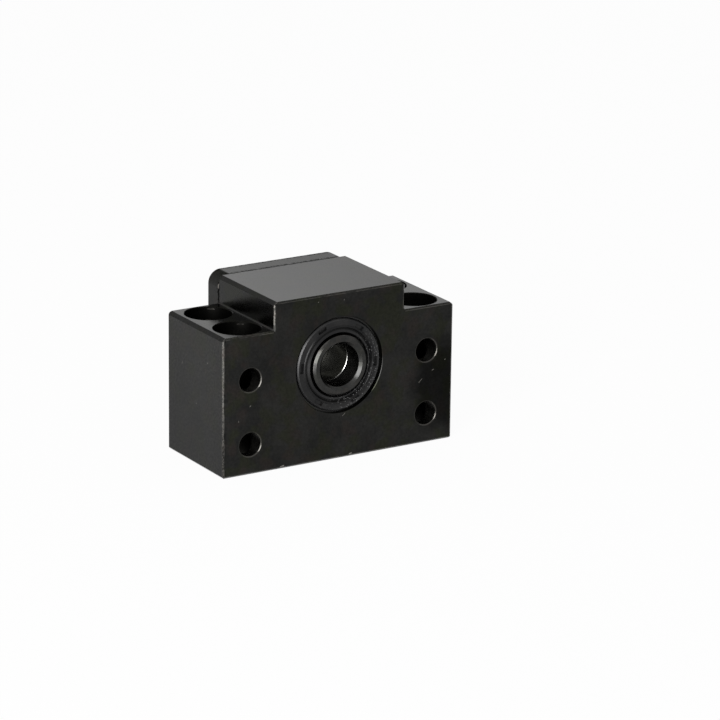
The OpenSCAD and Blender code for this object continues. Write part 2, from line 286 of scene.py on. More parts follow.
# One nick or scratch: the mask is 1 within the width of the straight line from start to end. The
# nearest point of the line is at the share t = (p - start).(end - start) / |end - start|^2.
def makeScratchLine():
    tree, given, result = startGroup(
        "scratch line", {"Position": "Vector", "Start": "Vector", "End": "Vector", "Width": 0.1},
        {"Mask": "Float"})
    point = scaled(tree, given["Position"], 1 / mm)
    line = vectorCalc(tree, "SUBTRACT", given["End"], given["Start"]).outputs[0]
    offset = vectorCalc(tree, "SUBTRACT", point, given["Start"]).outputs[0]
    share = calc(tree, "DIVIDE", vectorCalc(tree, "DOT_PRODUCT", offset, line).outputs["Value"],
                 vectorCalc(tree, "DOT_PRODUCT", line, line).outputs["Value"], clamp=True)
    beside = vectorCalc(tree, "SUBTRACT", offset, scaled(tree, line, share)).outputs[0]
    away = vectorCalc(tree, "LENGTH", beside).outputs["Value"]
    ragged = noise(tree, given["Position"], 5 / mm, 1.0)
    reach = product(tree, given["Width"], timesPlus(tree, ragged, 2.2, -0.4))
    tree.links.new(ease(tree, minus(tree, reach, away), -0.03, 0.04), result["Mask"])
    return tree


# Sparse light specks: round cells of a random scatter, of which only the luckiest are kept
def makeSpecks():
    tree, given, result = startGroup(
        "specks", {"Position": "Vector", "Spacing": 2, "Size": 0.1, "Share": 0.1}, {"Mask": "Float"})
    perMetre = calc(tree, "DIVIDE", 1 / mm, given["Spacing"])
    cells = addNode(tree, "ShaderNodeTexVoronoi", {"Vector": given["Position"], "Scale": perMetre})
    away = product(tree, cells.outputs["Distance"], given["Spacing"])
    lucky = calc(tree, "LESS_THAN", splitVector(tree, cells.outputs["Color"])[0], given["Share"])
    dot = ease(tree, minus(tree, given["Size"], away), 0.0, 0.06)
    tree.links.new(product(tree, dot, lucky), result["Mask"])
    return tree


edgeDistance = makeEdgeDistance()
rubbedEdge = makeRubbedEdge()
oxideTone = makeOxideTone()
grain = makeGrain()
turnedMarks = makeTurnedMarks()
scratchLine = makeScratchLine()
specks = makeSpecks()
print("shader groups made")


def emptyMaterial(name):
    material = bpy.data.materials.new(name)
    material.use_nodes = True
    tree = material.node_tree
    tree.nodes.clear()
    return material, tree, tree.nodes.new("ShaderNodeOutputMaterial").inputs["Surface"]


# A new material's tree, its shader, and the object's own coordinates
def startMaterial(name, metallic):
    material, tree, surface = emptyMaterial(name)
    shader = addNode(tree, "ShaderNodeBsdfPrincipled", {"Metallic": metallic})
    tree.links.new(shader.outputs[0], surface)
    place = tree.nodes.new("ShaderNodeTexCoord").outputs["Object"]
    return material, tree, shader, place


def feed(shader, socket, value):
    shader.id_data.links.new(value, shader.inputs[socket])


def dress(names, material):
    for name in names:
        slots = nodes[name].data.materials
        slots.clear()
        slots.append(material)


def oxide(tree, place, look):
    return useGroup(tree, oxideTone, Position=place, Dark=(*look["dark"], 1), Light=(*look["light"], 1),
                    Brown=(*look["brown"], 1), Brown_Share=look["brownShare"],
                    Olive=(*look["olive"], 1), Olive_Share=look["oliveShare"],
                    Cloud_Scale=look["cloudScale"], Grain_Share=look["grainShare"],
                    Roughness=look["roughness"])


# Gives the shader a fine grain, over a normal where there is one
def addGrain(tree, shader, place, look, **normal):
    bent = useGroup(tree, grain, Position=place, Scale=look["grainScale"],
                    Depth=look["grainDepth"], **normal)
    feed(shader, "Normal", bent["Normal"])


def dotMask(tree, place, look):
    return useGroup(tree, specks, Position=place, Spacing=look["dotSpacing"], Size=look["dotSize"],
                    Share=look["dotPart"])["Mask"]


def rubbedMask(tree, place, distance, look):
    return useGroup(tree, rubbedEdge, Position=place, Distance=distance, Width=look["rubWidth"],
                    Coverage=look["coverage"])["Mask"]


def lineMarkMask(tree, place, lineMark):
    start, end, width = lineMark
    return useGroup(tree, scratchLine, Position=place, Start=start, End=end, Width=width)["Mask"]


def turned(tree, place, look):
    return useGroup(tree, turnedMarks, Position=place, Per_Millimetre=look["ringsPerMillimetre"],
                    Depth=look["ringDepth"])


# Lays bare metal over the oxide by a mask, and links both looks to the shader
def layBare(tree, shader, tone, mask, look):
    colour = mixColour(tree, mask, tone["Colour"], (*look["bare"], 1))
    rough = mixValue(tree, mask, tone["Roughness"], look["bareRoughness"])
    feed(shader, "Base Color", colour)
    feed(shader, "Roughness", rough)


# Seen at a slant, the metal shines by its edge tint, so painted shade and grain go into that too
def slantTint(tree, shader, look, shade, grainy):
    share = timesPlus(tree, minus(tree, grainy, 1.0), look["tintGrain"], 1.0)
    share = product(tree, share, shade)
    tint = shaded(tree, (look["edgeTint"],) * 3 + (1,), share)
    feed(shader, "Specular Tint", tint)


block = {
    "dark": (0.0148, 0.0150, 0.0146), "light": (0.0212, 0.0211, 0.0200),
    "brown": (0.0225, 0.0188, 0.0172), "olive": (0.0184, 0.0199, 0.0122),
    "brownShare": 0.6, "oliveShare": 0.6, "cloudScale": 110, "grainShare": 1.0,
    "roughness": 0.17, "edgeTint": 0.91, "tintGrain": 0.1,
    # painted shade on the left face, darker downwards and backwards
    "leftShade": (0.014, 0.013),           # how much darker the left face is per mm down and back
    "leftShadeFrom": (30, -13),            # the height and the place along the shaft where that starts
    "leftGrain": 2.2,
    # painted shade: the top's reflection dims to the right
    "topShade": (0.038, 0.0033),           # how much less the top's tint is: overall, per mm to the right
    # painted shade on the long bevels and at the seam with the lid
    "bevel": 0.8, "bevelShade": 0.5, "seamShade": 0.12, "seamTint": 0.75,
    "bare": (0.46, 0.435, 0.40), "bareRoughness": 0.38, "rubWidth": 0.32, "coverage": 0.86,
    "rubCorner": 0.03, "rubCrown": 0.14,   # bareness of the left front edge, and of the crown's
    "rubElsewhere": 0.03,
    "rubFoot": 0.13, "rubFootHeight": 15,  # extra on the left front edge's foot, up to this height
    "lineAt": 0.4, "lineWidth": 0.09, "lineShare": 0.13,   # fine line inside the front face's edges
    "grainScale": 2600, "grainDepth": 0.0006,
    # upright grinding marks on the crown's sides
    "groundRoughness": 0.1, "groundPerMillimetre": 5, "groundShare": 0.5, "groundShade": 0.72,
    "holeX": 23, "holeZ": (7, 22), "holeRadius": 2.75, "rimShare": 0.07,
    "boltX": 23, "boltY": (-9, 4), "boltRadius": 5.4, "boltFloor": 27.5, "shankRadius": 3.3,
    # painted shade in the counterbores and on their mouths' bevels
    "boltBevel": 0.35, "boltBevelShade": 0.15, "boltBevelTint": 0.6, "boltShade": 0.32,
    "bored": (0.06, 0.059, 0.054), "boredRoughness": 0.36, "wallSlack": 0.03,
    "drillPerMillimetre": 3.5, "drillDepth": 0.004,
    # painted light on the front face's left end
    "leftEnd": (-20, -28), "leftEndLift": 0.2,   # how much lighter the front face is at its left end
    # a darker patch at the front face's right end
    "darkPatchCentre": (27.5, -15, 13.5), "darkPatchReach": (9.5, 1.5, 13.5), "darkPatchDepth": 0.63,
    "dotSpacing": 2.2, "dotSize": 0.11, "dotPart": 0.06, "dotShare": 0.35, "nickAndGlintShare": 0.4,
    "nicksAndGlints": [((-23.1, -15, 15.9), (-22.9, -15, 16.1), 0.10), ((-26, -15, 13), (-25.9, -15, 12.6), 0.06),
              ((24.6, -15, 17), (25, -15, 17.2), 0.08), ((21.1, -15, 14.6), (21.9, -15, 15.4), 0.06),
              ((28, -15, 19), (28.1, -15, 19.2), 0.09), ((1.6, -15, 10.5), (0.9, -15, 9.9), 0.06),
              ((2.4, -15, 11.4), (2.7, -15, 11.9), 0.05), ((1, -15, 37), (1.1, -15, 37.2), 0.07),
              ((-5.7, -15, 37.4), (-5.6, -15, 37.5), 0.07), ((-30, -3, 14.3), (-30, -3.1, 14.6), 0.09),
              ((-30, 3.5, 22), (-30, 3.3, 22.5), 0.07), ((-30, -8, 25), (-30, -8.2, 25.3), 0.08),
              ((-15.2, -15, 0.5), (-14.4, -15, 0.7), 0.18), ((2.8, -15, 0.6), (3.3, -15, 0.7), 0.2),
              # the last four are painted glints on the counterbores' walls
              ((-20.6, 8.9, 31.9), (-19.3, 7.9, 31.9), 0.12), ((-20.9, 9, 29.3), (-19.9, 8.4, 29.3), 0.12),
              ((-20.4, -4.3, 31.8), (-19.2, -5.2, 31.8), 0.1),
              ((-21.4, -3.9, 28.6), (-20.6, -4.2, 28.6), 0.1)],
}


# Distance from the nearest of four parallel axes, at plus and minus x and at two places along the
# other direction, by folding space about the middle of the four
def fromAxes(tree, x, other, apart, places):
    middle = sum(places) / 2
    sideways = minus(tree, calc(tree, "ABSOLUTE", x), apart)
    along = minus(tree, gap(tree, other, middle), abs(places[1] - middle))
    return hypotenuse(tree, sideways, along)


# 1 on the left of a place along x, falling to 0 over a millimetre
def leftOf(tree, x, place):
    return ease(tree, x, place + 0.5, place - 0.5)


def onFront(tree, y):
    return ease(tree, y, form["front"] + 0.6, form["front"] + 0.4)


# Coarse specks that break up the painted shade at a seam
def seamSpecks(tree, place):
    return ease(tree, noise(tree, place, 1.6 / mm, 1.0), 0.4, 0.6)


# 1 on the crown, which is the part that meets the lid
def besideLid(tree, x, z):
    onCrown = ease(tree, calc(tree, "ABSOLUTE", x), form["crownHalf"] + 0.3, form["crownHalf"] + 0.1)
    return product(tree, onCrown, ease(tree, z, form["shoulder"], form["shoulder"] + 0.2))


# How bare each place is: rubbed edges, a fine line round the front face, hole rims, nicks and dots,
# and painted glints on the counterbores' walls, laid as bare metal
def blockBareness(tree, place, x, y, z, distance, fromHole):
    atFront = onFront(tree, y)
    left = -form["halfWidth"]
    # most on the left front edge, less on the crown's left front edge
    corner = product(tree, leftOf(tree, x, left + 0.8), atFront)
    crown = product(tree, leftOf(tree, x, 1 - form["crownHalf"]), atFront,
                    ease(tree, z, form["shoulder"] - 1.5, form["height"]))
    low = ease(tree, z, block["rubFootHeight"], 2)
    foot = timesPlus(tree, low, block["rubFoot"], block["rubCorner"])
    bareness = timesPlus(tree, corner, foot, block["rubElsewhere"])
    bareness = timesPlus(tree, crown, block["rubCrown"], bareness)
    rubbed = rubbedMask(tree, place, distance, block)
    # neither the step's inner corner nor the seam with the lid can be rubbed
    fromStep = most(tree, gap(tree, calc(tree, "ABSOLUTE", x), form["crownHalf"]),
                    gap(tree, z, form["shoulder"]))
    nearSeam = product(tree, besideLid(tree, x, z), ease(tree, y, form["rear"] - 0.7, form["rear"] - 0.5))
    mask = product(tree, rubbed, bareness, ease(tree, fromStep, 0.6, 1.0), minus(tree, 1.0, nearSeam))
    worn = ease(tree, noise(tree, place, 0.35 / mm, 3.0, 0.6), 0.36, 0.6)
    onLine = ease(tree, gap(tree, distance, block["lineAt"]), block["lineWidth"], block["lineWidth"] / 2)
    mask = most(tree, mask, product(tree, onLine, worn, atFront, block["lineShare"]))
    offRim = gap(tree, fromHole, block["holeRadius"] + 0.1)
    rim = product(tree, ease(tree, offRim, 0.18, 0.06), atFront, block["rimShare"])
    mask = most(tree, mask, rim)
    # nicks, and painted glints in the counterbores, as bare metal
    for lineMark in block["nicksAndGlints"]:
        bare = product(tree, lineMarkMask(tree, place, lineMark), block["nickAndGlintShare"])
        mask = most(tree, mask, bare)
    return most(tree, mask, product(tree, dotMask(tree, place, block), block["dotShare"]))


# How much of its tone each place keeps: a darker patch at the front face's right end, painted light
# on the front face's left end, and painted shade on the left face, darker downwards and backwards
def blockShading(tree, place, point, x, y, z, grainy):
    # a darker patch at the front face's right end, with a ragged border
    away = vectorCalc(tree, "SUBTRACT", point, block["darkPatchCentre"]).outputs[0]
    away = vectorCalc(tree, "DIVIDE", away, block["darkPatchReach"]).outputs[0]
    ragged = timesPlus(tree, noise(tree, place, 0.25 / mm, 3.0), 0.6, -0.3)
    away = calc(tree, "ADD", vectorCalc(tree, "LENGTH", away).outputs["Value"], ragged)
    fade = timesPlus(tree, ease(tree, away, 1.05, 0.5), -block["darkPatchDepth"], 1.0)
    atFront = onFront(tree, y)
    # painted light: the front face is lighter at its left end
    lift = product(tree, ease(tree, x, *block["leftEnd"]), atFront, block["leftEndLift"])
    fade = product(tree, fade, calc(tree, "ADD", lift, 1.0))
    # painted shade: the left face darkens downwards and backwards
    perDown, perBack = block["leftShade"]
    upper, ahead = block["leftShadeFrom"]
    shade = timesPlus(tree, y, perBack, upper * perDown - ahead * perBack)
    shade = timesPlus(tree, z, -perDown, shade)
    coarse = product(tree, minus(tree, grainy, 1.0), block["leftGrain"])
    shade = product(tree, minus(tree, shade, coarse), leftOf(tree, x, 0.5 - form["halfWidth"]))
    return product(tree, fade, minus(tree, 1.0, shade))


def makeBlockSteel():
    material, tree, shader, place = startMaterial("black oxide block", 1.0)
    tone = oxide(tree, place, block)
    point = scaled(tree, place, 1 / mm)
    x, y, z = splitVector(tree, point)
    edges = useGroup(tree, edgeDistance, Position=place)
    fromHole = fromAxes(tree, x, z, block["holeX"], block["holeZ"])
    mask = blockBareness(tree, place, x, y, z, edges["Distance"], fromHole)
    grainy = oxideGrain(tree, place, block["grainShare"])[1]
    fade = blockShading(tree, place, point, x, y, z, grainy)
    # painted shade: the long bevels at the tops are darker, and so is the seam with the lid, in specks
    bevel = ease(tree, edges["Long Edge"], block["bevel"] + 0.04, block["bevel"] - 0.04)
    fade = dimmed(tree, fade, product(tree, bevel, ease(tree, z, 30, 31)), block["bevelShade"])
    specked = product(tree, seamSpecks(tree, place), besideLid(tree, x, z))
    atSeam = ease(tree, y, form["rear"] - 0.4, form["rear"] - 0.25)
    fade = dimmed(tree, fade, product(tree, atSeam, specked), block["seamShade"])
    # painted shade: the top's tint lessens to the right and along the seam
    overall, perRight = block["topShade"]
    onTop = ease(tree, z, form["height"] - 0.2, form["height"] - 0.05)
    less = product(tree, timesPlus(tree, x, perRight, overall), onTop)
    alongSeam = product(tree, ease(tree, y, form["rear"] - 0.8, form["rear"] - 0.5), specked)
    tint = dimmed(tree, minus(tree, 1.0, less), alongSeam, block["seamTint"])
    # grinding marks blur what the crown's sides mirror
    fromCrown = gap(tree, calc(tree, "ABSOLUTE", x), form["crownHalf"])
    ground = product(tree, ease(tree, z, form["shoulder"], form["shoulder"] + 0.1),
                     ease(tree, fromCrown, 0.1, 0.05))
    marks = lineNoise(tree, product(tree, y, block["groundPerMillimetre"]), 2.0)
    marks = timesPlus(tree, minus(tree, marks, 0.5), block["groundShare"], block["groundShade"] - 1)
    fade = product(tree, fade, timesPlus(tree, marks, ground, 1.0))
    # bored walls are duller and greyer than the ground faces; painted shade darkens the counterbores'
    # walls, and their mouths most
    slack = block["wallSlack"]
    fromBolt = fromAxes(tree, x, y, block["boltX"], block["boltY"])
    inHole = calc(tree, "LESS_THAN", fromHole, block["holeRadius"] + slack)
    inBore = product(tree, calc(tree, "LESS_THAN", fromBolt, block["boltRadius"] + slack),
                     calc(tree, "GREATER_THAN", z, block["boltFloor"] - 0.5))
    inShank = calc(tree, "LESS_THAN", fromBolt, block["shankRadius"] + slack)
    inBolt = most(tree, inBore, inShank)
    bored = most(tree, inHole, inBolt)
    low, high = block["boltFloor"] - 0.47, form["shoulder"] - 0.03
    mouth = calc(tree, "LESS_THAN", fromBolt, block["boltRadius"] + block["boltBevel"])
    mouth = product(tree, mouth, calc(tree, "COMPARE", z, (low + high) / 2, (high - low) / 2))
    # painted shade on the counterbores' mouths
    fade = dimmed(tree, fade, mouth, block["boltBevelShade"])
    slantTint(tree, shader, block, dimmed(tree, tint, mouth, block["boltBevelTint"]), grainy)
    plain = shaded(tree, tone["Colour"], fade)
    wall = shaded(tree, (*block["bored"], 1), dimmed(tree, 1.0, inBolt, block["boltShade"]))
    dull = timesPlus(tree, ground, block["groundRoughness"], tone["Roughness"])
    look = {"Colour": mixColour(tree, bored, plain, wall),
            "Roughness": mixValue(tree, bored, dull, block["boredRoughness"])}
    layBare(tree, shader, look, mask, block)
    # drill marks run round the inside of the holes
    travel = timesPlus(tree, inHole, y, product(tree, inBolt, z))
    turns = lineNoise(tree, product(tree, travel, block["drillPerMillimetre"]), 1.0)
    drilled = bumped(tree, product(tree, turns, bored), block["drillDepth"])
    addGrain(tree, shader, place, block, Normal=drilled)
    return material


dress(["housing"], makeBlockSteel())
print("block blackened")

lid = {
    "dark": (0.0155, 0.0156, 0.015), "light": (0.0195, 0.0194, 0.018),
    "brown": (0.021, 0.0185, 0.0165), "olive": (0.0188, 0.0192, 0.0155),
    "brownShare": 0.5, "oliveShare": 0.5, "cloudScale": 110, "grainShare": 1.0,
    "roughness": 0.19, "edgeTint": 0.83, "tintGrain": 0.1,
    # painted shade: the lid top's reflection dims to the right
    "topShade": (0.052, 0.003),            # how much less the top's tint is: overall, per mm to the right
    # painted shade on the bevels, at the seam with the block and at the top's two ends
    "bevel": 0.3, "bevelShade": 0.65, "seamShade": 0.1, "endTint": 0.6, "behindSeam": 0.7,
    # painted shade on the round corners
    "cornerTint": 0.6, "slopeTint": 0.92,  # tint left on the round corners, at the top and lower down
    "fleck": ((-17, 10.0, 36.0), (-17, 10.1, 36.8), 0.3), "fleckShare": 0.7,
    "dotSpacing": 2.6, "dotSize": 0.09, "dotPart": 0.05, "dotShare": 0.16,
    "bare": (0.44, 0.41, 0.37), "bareRoughness": 0.45, "rubWidth": 0.26, "coverage": 0.7, "rubShare": 0.12,
    "halfWidth": 17, "cornerRadius": 3, "inner": 10, "outer": 15,
    "grainScale": 2600, "grainDepth": 0.0007,
}


# The lid's outline is a square with round corners: distance to it is |max(q, 0)| + min(max(q), 0)
# less the corner radius, with q the offset past the corner centres. Its edges are where that and
# the distance to a face both vanish.
def makeLidSteel():
    material, tree, shader, place = startMaterial("black oxide lid", 1.0)
    tone = oxide(tree, place, lid)
    x, y, z = splitVector(tree, scaled(tree, place, 1 / mm))
    core = lid["halfWidth"] - lid["cornerRadius"]
    qx = minus(tree, calc(tree, "ABSOLUTE", x), core)
    qz = minus(tree, gap(tree, z, axisHeight), core)
    corner = hypotenuse(tree, most(tree, qx, 0.0), most(tree, qz, 0.0))
    flat = least(tree, most(tree, qx, qz), 0.0)
    outline = gap(tree, calc(tree, "ADD", corner, flat), lid["cornerRadius"])
    toFace = least(tree, gap(tree, y, lid["inner"]), gap(tree, y, lid["outer"]))
    toEdge = most(tree, outline, toFace)
    # rubbed edges, apart from the one in the seam, then dots and a fleck of bare metal
    mask = product(tree, rubbedMask(tree, place, toEdge, lid), lid["rubShare"],
                   ease(tree, y, lid["inner"] + 0.5, lid["inner"] + 0.8))
    mask = most(tree, mask, product(tree, dotMask(tree, place, lid), lid["dotShare"]))
    fleck = product(tree, lineMarkMask(tree, place, lid["fleck"]), lid["fleckShare"])
    mask = most(tree, mask, fleck)
    # painted shade: the bevels are darker, most of all at the seam with the block, in specks
    bevel = ease(tree, toEdge, lid["bevel"] + 0.04, lid["bevel"] - 0.04)
    fade = dimmed(tree, 1.0, bevel, lid["bevelShade"])
    onOutline = ease(tree, outline, 0.6, 0.4)
    specked = product(tree, seamSpecks(tree, place), onOutline)
    atSeam = ease(tree, y, lid["inner"] + 0.5, lid["inner"] + 0.3)
    fade = dimmed(tree, fade, product(tree, atSeam, specked), lid["seamShade"])
    # painted shade: the top's tint lessens to the right, towards its two ends and down the round corners
    onTop = ease(tree, z, form["height"] - 0.6, form["height"] - 0.3)
    overall, perRight = lid["topShade"]
    less = product(tree, timesPlus(tree, x, perRight, overall), onTop)
    atFrontEnd = product(tree, ease(tree, y, lid["inner"] + 0.9, lid["inner"] + 0.5), lid["behindSeam"])
    atRearEnd = product(tree, ease(tree, y, lid["outer"] - 1.5, lid["outer"] - 0.7), onTop)
    ends = product(tree, most(tree, atRearEnd, atFrontEnd), specked)
    tint = dimmed(tree, minus(tree, 1.0, less), ends, lid["endTint"])
    # painted shade down the round corners
    atCorner = product(tree, ease(tree, qx, 0.15, 0.4), ease(tree, qz, 0.0, 0.3), onOutline)
    left = timesPlus(tree, ease(tree, qz, lid["cornerRadius"] - 0.1, 1.0),
                     lid["slopeTint"] - lid["cornerTint"], lid["cornerTint"])
    left = timesPlus(tree, atCorner, minus(tree, left, 1.0), 1.0)
    grainy = oxideGrain(tree, place, lid["grainShare"])[1]
    slantTint(tree, shader, lid, product(tree, tint, left), grainy)
    look = {"Colour": shaded(tree, tone["Colour"], fade), "Roughness": tone["Roughness"]}
    layBare(tree, shader, look, mask, lid)
    addGrain(tree, shader, place, lid)
    return material


dress(["lid"], makeLidSteel())
print("lid blackened")

collar = {
    "dark": (0.028, 0.0282, 0.0275), "light": (0.039, 0.0388, 0.0375), "brown": (0.045, 0.040, 0.036),
    "olive": (0.035, 0.0365, 0.030), "brownShare": 0.35, "oliveShare": 0.3, "cloudScale": 260,
    "grainShare": 0.7, "roughness": 0.26, "bare": (0.30, 0.28, 0.26), "bareRoughness": 0.35,
    "rimRadii": (5.1, 6.95), "rubWidth": 0.3, "coverage": 0.5, "rubShare": 0.1,
    "ringsPerMillimetre": 7, "ringDepth": 0.004,
}


def makeCollarSteel():
    material, tree, shader, place = startMaterial("black oxide collar", 1.0)
    tone = oxide(tree, place, collar)
    marks = turned(tree, place, collar)
    inner, outer = collar["rimRadii"]
    offRims = least(tree, gap(tree, marks["Radius"], inner), gap(tree, marks["Radius"], outer))
    mask = product(tree, rubbedMask(tree, place, offRims, collar), collar["rubShare"])
    layBare(tree, shader, tone, mask, collar)
    feed(shader, "Normal", marks["Normal"])
    return material


dress(["front_collar", "rear_collar"], makeCollarSteel())
print("collars blackened")

seal = {
    "rubber": (0.0062, 0.0062, 0.0066), "dust": (0.017, 0.0165, 0.016), "speck": (0.13, 0.13, 0.13),
    "roughness": 0.3, "specular": 0.19,
    # painted shade in the groove
    "grooveRadii": (8.15, 8.6), "grooveShade": 0.4,
    "ribRadii": (8.55, 9.2), "rimRadius": 10.38,
    # painted shade on the groove and rib, and a painted highlight on the rim, by their shine
    "grooveShine": -0.45, "ribShine": -0.35, "rimShine": 0.9,      # more or less shine than the rest
    "haze": (0.07, 0.07, 0.07), "hazeFrom": (9.7, 10.4), "hazeShare": 0.3,
    "grainScale": 3200, "grainDepth": 0.005, "dustShare": 0.6,
    "dotSpacing": 0.46, "dotSize": 0.15, "dotPart": 0.6, "dotsFrom": (8, 0, 17), "dotsReach": 14,
}


# Where the radius lies between two radii
def ringMask(tree, radius, radii):
    low, high = radii
    return product(tree, ease(tree, radius, low - 0.1, low + 0.1),
                   ease(tree, radius, high + 0.1, high - 0.1))


# Nitrile rubber with a faint bloom. The groove has painted shade: it is darker and shines less. The
# rib's shine is lowered as painted shade, and the rim's raised as a painted highlight. Pale dust has
# settled on the lower right of the flange and along its rim.
def makeSealRubber():
    material, tree, shader, place = startMaterial("seal rubber", 0.0)
    x, y, z = splitVector(tree, scaled(tree, place, 1 / mm))
    up = minus(tree, z, axisHeight)
    radius = hypotenuse(tree, x, up)
    groove = ringMask(tree, radius, seal["grooveRadii"])
    bloom = noise(tree, place, 260, 4.0, 0.6)
    fine = noise(tree, place, 2200, 2.0)
    share = product(tree, ease(tree, bloom, 0.4, 0.75), seal["dustShare"])
    colour = mixColour(tree, share, (*seal["rubber"], 1), (*seal["dust"], 1))
    # painted shade: the groove is darker
    colour = shaded(tree, colour, dimmed(tree, 1.0, groove, seal["grooveShade"]))
    aside = vectorCalc(tree, "MULTIPLY", scaled(tree, place, 1 / mm), (1, 0, 1)).outputs[0]
    aside = vectorCalc(tree, "SUBTRACT", aside, seal["dotsFrom"]).outputs[0]
    settled = ease(tree, vectorCalc(tree, "LENGTH", aside).outputs["Value"], seal["dotsReach"],
                   seal["dotsReach"] * 0.4)
    dots = dotMask(tree, place, seal)
    haze = product(tree, ease(tree, radius, *seal["hazeFrom"]), settled, seal["hazeShare"])
    colour = mixColour(tree, haze, colour, (*seal["haze"], 1))
    colour = mixColour(tree, product(tree, dots, settled), colour, (*seal["speck"], 1))
    feed(shader, "Base Color", colour)
    # painted shade on the groove and rib, a painted highlight on the rim, by their shine
    shine = 1.0
    rib = ringMask(tree, radius, seal["ribRadii"])
    rim = ease(tree, radius, seal["rimRadius"] - 0.05, seal["rimRadius"] + 0.05)
    for part, more in (groove, seal["grooveShine"]), (rib, seal["ribShine"]), (rim, seal["rimShine"]):
        shine = timesPlus(tree, part, more, shine)
    # the number comes last, as a plain factor, which an export can read
    feed(shader, "Specular IOR Level", product(tree, shine, seal["specular"]))
    rough = timesPlus(tree, fine, 0.16, seal["roughness"] - 0.08)
    feed(shader, "Roughness", rough)
    addGrain(tree, shader, place, seal)
    return material


dress(["front_seal", "rear_seal"], makeSealRubber())
print("seals moulded")

ring = {
    "steel": (0.56, 0.56, 0.55), "darkBore": (0.10, 0.10, 0.088), "boreRadius": 5.0,
    "roughness": 0.2, "boreRoughness": 0.19, "ringsPerMillimetre": 9, "ringDepth": 0.0004,
}


# Ground steel, darker in the bore where the shaft sits
def makeRingSteel():
    material, tree, shader, place = startMaterial("bearing ring steel", 1.0)
    marks = turned(tree, place, ring)
    shade = timesPlus(tree, marks["Rings"], 0.16, 0.92)
    steel = shaded(tree, (*ring["steel"], 1), shade)
    inBore = ease(tree, marks["Radius"], ring["boreRadius"] + 0.12, ring["boreRadius"] + 0.05)
    feed(shader, "Base Color", mixColour(tree, inBore, steel, (*ring["darkBore"], 1)))
    base = timesPlus(tree, inBore, ring["boreRoughness"] - ring["roughness"], ring["roughness"])
    rough = timesPlus(tree, minus(tree, noise(tree, place, 900, 3.0), 0.5), 0.1, base)
    feed(shader, "Roughness", rough)
    feed(shader, "Normal", marks["Normal"])
    return material


dress(["front_inner_ring", "rear_inner_ring", "front_outer_ring", "rear_outer_ring"], makeRingSteel())

ball = {"steel": (0.72, 0.72, 0.73), "grease": (0.5, 0.44, 0.34), "greaseShare": 0.3,
        "roughness": 0.07, "smear": 0.09}


# Polished steel with a thin, uneven film of grease
def makeBallSteel():
    material, tree, shader, place = startMaterial("ball steel", 1.0)
    smear = ease(tree, noise(tree, place, 700, 3.0), 0.45, 0.7)
    feed(shader, "Roughness", timesPlus(tree, smear, ball["smear"], ball["roughness"]))
    tint = product(tree, smear, ball["greaseShare"])
    feed(shader, "Base Color", mixColour(tree, tint, (*ball["steel"], 1), (*ball["grease"], 1)))
    return material


dress([name for name in nodes if "_ball_" in name], makeBallSteel())

cage = {"resin": (0.40, 0.25, 0.11), "deep": (0.30, 0.18, 0.075), "roughness": 0.45,
        "grainScale": 1800, "grainDepth": 0.006}


def makeCageResin():
    material, tree, shader, place = startMaterial("cage resin", 0.0)
    flow = noise(tree, place, 420, 3.0, 0.6)
    streaks = ease(tree, flow, 0.3, 0.7)
    feed(shader, "Base Color", mixColour(tree, streaks, (*cage["deep"], 1), (*cage["resin"], 1)))
    feed(shader, "Roughness", timesPlus(tree, flow, 0.14, cage["roughness"] - 0.07))
    addGrain(tree, shader, place, cage)
    return material


dress(["front_cage", "rear_cage"], makeCageResin())
print("bearings finished")

screw = {
    "headRadius": 2.72, "headHeight": 3.0, "brow": 0.32, "socketFlats": 2.5, "socketDepth": 1.5,
    "drillCone": 0.35, "socketEase": 0.12, "knurls": 36, "knurlDepth": 0.07, "knurlEnds": (0.35, 2.55),
    "shankRadius": 1.48, "length": 8.0, "pitch": 0.5, "threadDepth": 0.27, "tipEase": 0.4,
    "seatY": 11.8, "apart": 26, "turnSteps": 144, "perPitch": 6,
    "dark": (0.018, 0.018, 0.0178), "light": (0.03, 0.03, 0.029), "brown": (0.032, 0.026, 0.021),
    "olive": (0.026, 0.027, 0.022), "brownShare": 0.3, "oliveShare": 0.2, "cloudScale": 300,
    "grainShare": 0.5, "roughness": 0.3, "bare": (0.42, 0.38, 0.33), "bareRoughness": 0.38,
    "rubWidth": 0.2, "coverage": 0.55, "rubShare": 0.6, "grainScale": 3000, "grainDepth": 0.0015,
}


